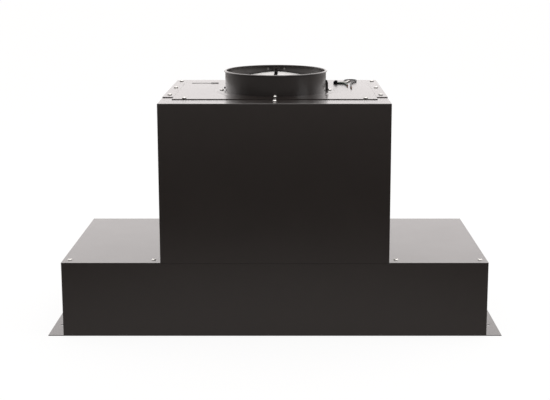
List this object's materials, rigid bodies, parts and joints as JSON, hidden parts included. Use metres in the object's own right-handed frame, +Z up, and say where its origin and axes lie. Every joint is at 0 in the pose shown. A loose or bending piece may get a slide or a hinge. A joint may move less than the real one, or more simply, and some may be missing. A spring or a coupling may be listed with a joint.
{
  "type": "built-in range hood",
  "caption": "Built-in range hood: wide shallow canopy with side flanges, narrower blower casing, round duct collar with twin damper flaps, baffle filters, lamps and push buttons below.",
  "frame": {"origin": "on the floor plane under the duct collar axis, at the bottom centre of the box without the leads", "axes": "+X to the right seen from the front, +Y to the wall behind the hood, +Z up towards the duct"},
  "size_m": [0.762, 0.3302, 0.4318],
  "materials": {
    "black_powder": "semi-gloss black powder coat on bent steel sheet",
    "galvanised": "galvanised steel sheet with a fine spangle",
    "flap_aluminium": "mill-finish aluminium sheet",
    "bright_steel": "bright drawn steel",
    "zinc_screw": "bright zinc plate",
    "stainless": "brushed stainless steel",
    "black_plastic": "moulded black nylon",
    "button_plastic": "moulded dark grey ABS",
    "lamp_housing": "turned aluminium",
    "lamp_lens": "frosted glass",
    "motor_paint": "grey enamel",
    "capacitor_can": "drawn aluminium can",
    "grommet_rubber": "moulded black rubber",
    "black_lead": "PVC insulation",
    "white_lead": "PVC insulation",
    "green_lead": "PVC insulation",
    "copper": "bare copper"
  },
  "bodies": {
    "housing": {"blower_hanger_left": "galvanised", "blower_hanger_right": "galvanised", "body_rear": "black_powder", "body_wrap": "black_powder", "bracket_rivets": "bright_steel", "capacitor": "capacitor_can", "casing_rear": "black_powder", "casing_screws": "zinc_screw", "casing_wrap": "black_powder", "collar_screws": "zinc_screw", "control_panel": "black_plastic", "cross_rail_left": "galvanised", "cross_rail_right": "galvanised", "damper_rod": "bright_steel", "damper_stop": "black_plastic", "duct_collar": "black_powder", "inlet_ring_left": "galvanised", "inlet_ring_right": "galvanised", "lamp_housing_left": "lamp_housing", "lamp_housing_right": "lamp_housing", "lamp_lens_left": "lamp_lens", "lamp_lens_right": "lamp_lens", "lead_black": "black_lead", "lead_green": "green_lead", "lead_outlet": "black_plastic", "lead_tips": "copper", "lead_white": "white_lead", "lid_screws": "zinc_screw", "motor": "motor_paint", "motor_bracket": "galvanised", "motor_grommets": "grommet_rubber", "outlet_frame": "galvanised", "rod_brackets": "black_powder", "scroll_side_left": "galvanised", "scroll_side_right": "galvanised", "scroll_wrap": "galvanised", "shoulder_left": "black_powder", "shoulder_right": "black_powder", "shoulder_screws": "zinc_screw", "switch_block": "black_plastic", "terminal_block": "black_plastic", "top_lid": "black_powder", "underside_pan": "stainless", "wiring_box": "galvanised", "wiring_box_cover": "galvanised"},
    "fan": {"fan_wheel": "galvanised", "motor_shaft": "bright_steel"},
    "flap_left": {"damper_flap_left": "flap_aluminium"},
    "flap_right": {"damper_flap_right": "flap_aluminium"},
    "filter_left": {"filter_frame_left": "stainless", "baffles_left": "stainless"},
    "filter_right": {"filter_frame_right": "stainless", "baffles_right": "stainless"},
    "latch_left": {"filter_latch_left": "stainless"},
    "latch_right": {"filter_latch_right": "stainless"},
    "button_light": {"button_light": "button_plastic"},
    "button_stop": {"button_stop": "button_plastic"},
    "button_low": {"button_low": "button_plastic"},
    "button_medium": {"button_medium": "button_plastic"},
    "button_high": {"button_high": "button_plastic"}
  },
  "joints": [
    {"name": "fan_spin", "type": "hinge", "parent": "housing", "child": "fan", "pos_m": [0, 0.0565, 0.268], "axis": [1, 0, 0], "continuous": true},
    {"name": "flap_left_open", "type": "hinge", "parent": "housing", "child": "flap_left", "pos_m": [0, 0, 0.4228], "axis": [0, 1, 0], "range_deg": [0, 85]},
    {"name": "flap_right_open", "type": "hinge", "parent": "housing", "child": "flap_right", "pos_m": [0, 0, 0.4228], "axis": [0, -1, 0], "range_deg": [0, 85]},
    {"name": "filter_left_drop", "type": "hinge", "parent": "housing", "child": "filter_left", "pos_m": [-0.132, 0.124, 0.0132], "axis": [1, 0, 0], "range_deg": [0, 75]},
    {"name": "latch_left_pull", "type": "slide", "parent": "filter_left", "child": "latch_left", "axis": [0, 1, 0], "range_m": [0, 0.006], "stiffness_N_per_m": 400, "springref_m": -0.002},
    {"name": "filter_right_drop", "type": "hinge", "parent": "housing", "child": "filter_right", "pos_m": [0.132, 0.124, 0.0132], "axis": [1, 0, 0], "range_deg": [0, 75]},
    {"name": "latch_right_pull", "type": "slide", "parent": "filter_right", "child": "latch_right", "axis": [0, 1, 0], "range_m": [0, 0.006], "stiffness_N_per_m": 400, "springref_m": -0.002},
    {"name": "button_light_press", "type": "slide", "parent": "housing", "child": "button_light", "axis": [0, 0, 1], "range_m": [0, 0.0015], "stiffness_N_per_m": 400, "springref_m": -0.001},
    {"name": "button_stop_press", "type": "slide", "parent": "housing", "child": "button_stop", "axis": [0, 0, 1], "range_m": [0, 0.0015], "stiffness_N_per_m": 400, "springref_m": -0.001},
    {"name": "button_low_press", "type": "slide", "parent": "housing", "child": "button_low", "axis": [0, 0, 1], "range_m": [0, 0.0015], "stiffness_N_per_m": 400, "springref_m": -0.001},
    {"name": "button_medium_press", "type": "slide", "parent": "housing", "child": "button_medium", "axis": [0, 0, 1], "range_m": [0, 0.0015], "stiffness_N_per_m": 400, "springref_m": -0.001},
    {"name": "button_high_press", "type": "slide", "parent": "housing", "child": "button_high", "axis": [0, 0, 1], "range_m": [0, 0.0015], "stiffness_N_per_m": 400, "springref_m": -0.001}
  ]
}
